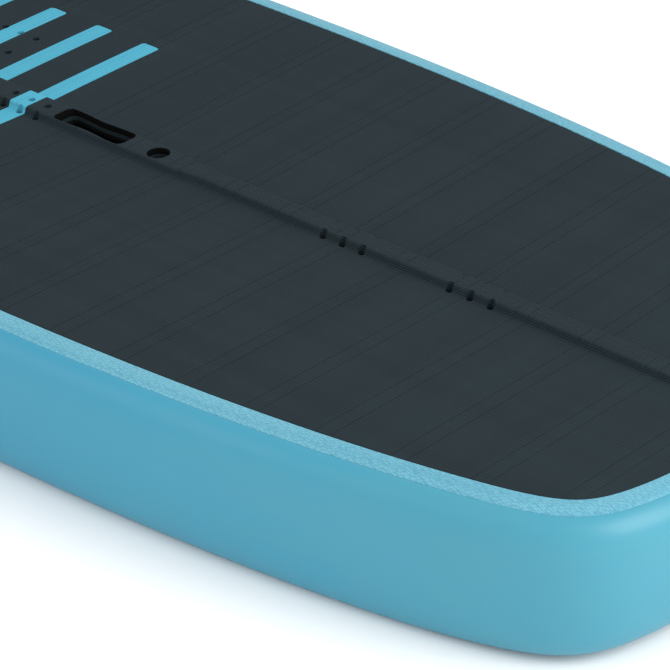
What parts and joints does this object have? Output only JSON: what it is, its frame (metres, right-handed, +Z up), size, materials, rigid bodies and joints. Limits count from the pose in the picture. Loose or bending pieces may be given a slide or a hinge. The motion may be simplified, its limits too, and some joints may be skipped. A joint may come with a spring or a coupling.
{
  "type": "stand up paddleboard",
  "caption": "Short thick stand up board with a grooved soft deck, centre ridge, carry handle, footstrap inserts and twin foil tracks.",
  "frame": {"origin": "under the middle of the board, on the plane the flat of the bottom rests on", "axes": "+X towards the nose, +Y to port, +Z up"},
  "size_m": [1.905, 0.76, 0.1823],
  "materials": {
    "rail_paint": "satin paint over a foam sandwich skin",
    "band_eva": "pebbled soft foam",
    "pad_eva": "finely grooved soft foam",
    "stripe_eva": "finely grooved soft foam",
    "deck_skin": "sanded sandwich skin",
    "foam": "expanded foam",
    "dense_foam": "dense closed-cell foam",
    "plywood": "bare plywood",
    "black_plastic": "moulded plastic",
    "track_plastic": "moulded plastic",
    "gasket_rubber": "soft rubber",
    "pin_steel": "stainless",
    "nut_brass": "machined"
  },
  "bodies": {
    "board": {"hull_shell": "rail_paint", "deck_shell": "deck_skin", "foam_core": "foam", "stringer_nose": "plywood", "stringer_mid": "plywood", "stringer_tail": "plywood", "track_block": "dense_foam", "rear_strap_block": "dense_foam", "front_strap_block": "dense_foam", "outer_strap_block_port": "dense_foam", "outer_strap_block_starboard": "dense_foam", "rail_band": "band_eva", "deck_pad_port": "pad_eva", "deck_pad_starboard": "pad_eva", "centre_ridge": "pad_eva", "deck_stripes": "stripe_eva", "handle_cup": "black_plastic", "vent_housing": "black_plastic", "rear_strap_inserts": "black_plastic", "front_strap_inserts": "black_plastic", "outer_strap_inserts_port": "black_plastic", "outer_strap_inserts_starboard": "black_plastic", "leash_plug": "black_plastic", "leash_pin": "pin_steel", "foil_track_port": "track_plastic", "foil_track_starboard": "track_plastic"},
    "vent_gasket": {"vent_gasket": "gasket_rubber"},
    "vent_screw": {"vent_screw": "black_plastic"},
    "track_nut_port_front": {"track_nut_port_front": "nut_brass"},
    "track_nut_port_rear": {"track_nut_port_rear": "nut_brass"},
    "track_nut_starboard_front": {"track_nut_starboard_front": "nut_brass"},
    "track_nut_starboard_rear": {"track_nut_starboard_rear": "nut_brass"}
  },
  "joints": [
    {"name": "vent_lift", "type": "slide", "parent": "board", "child": "vent_gasket", "axis": [0, 0, 1], "range_m": [0, 0.0045]},
    {"name": "vent_turn", "type": "hinge", "parent": "vent_gasket", "child": "vent_screw", "pos_m": [-0.122, 0, 0.145], "axis": [0, 0, 1], "range_deg": [0, 1080]},
    {"name": "nut_slide_port_front", "type": "slide", "parent": "board", "child": "track_nut_port_front", "axis": [1, 0, 0], "range_m": [-0.038, 0.038]},
    {"name": "nut_slide_port_rear", "type": "slide", "parent": "board", "child": "track_nut_port_rear", "axis": [1, 0, 0], "range_m": [-0.038, 0.038]},
    {"name": "nut_slide_starboard_front", "type": "slide", "parent": "board", "child": "track_nut_starboard_front", "axis": [1, 0, 0], "range_m": [-0.038, 0.038]},
    {"name": "nut_slide_starboard_rear", "type": "slide", "parent": "board", "child": "track_nut_starboard_rear", "axis": [1, 0, 0], "range_m": [-0.038, 0.038]}
  ],
  "couplings": [
    {"joint": "vent_turn", "follows": "vent_lift", "rad_per_m": 4188.8}
  ]
}
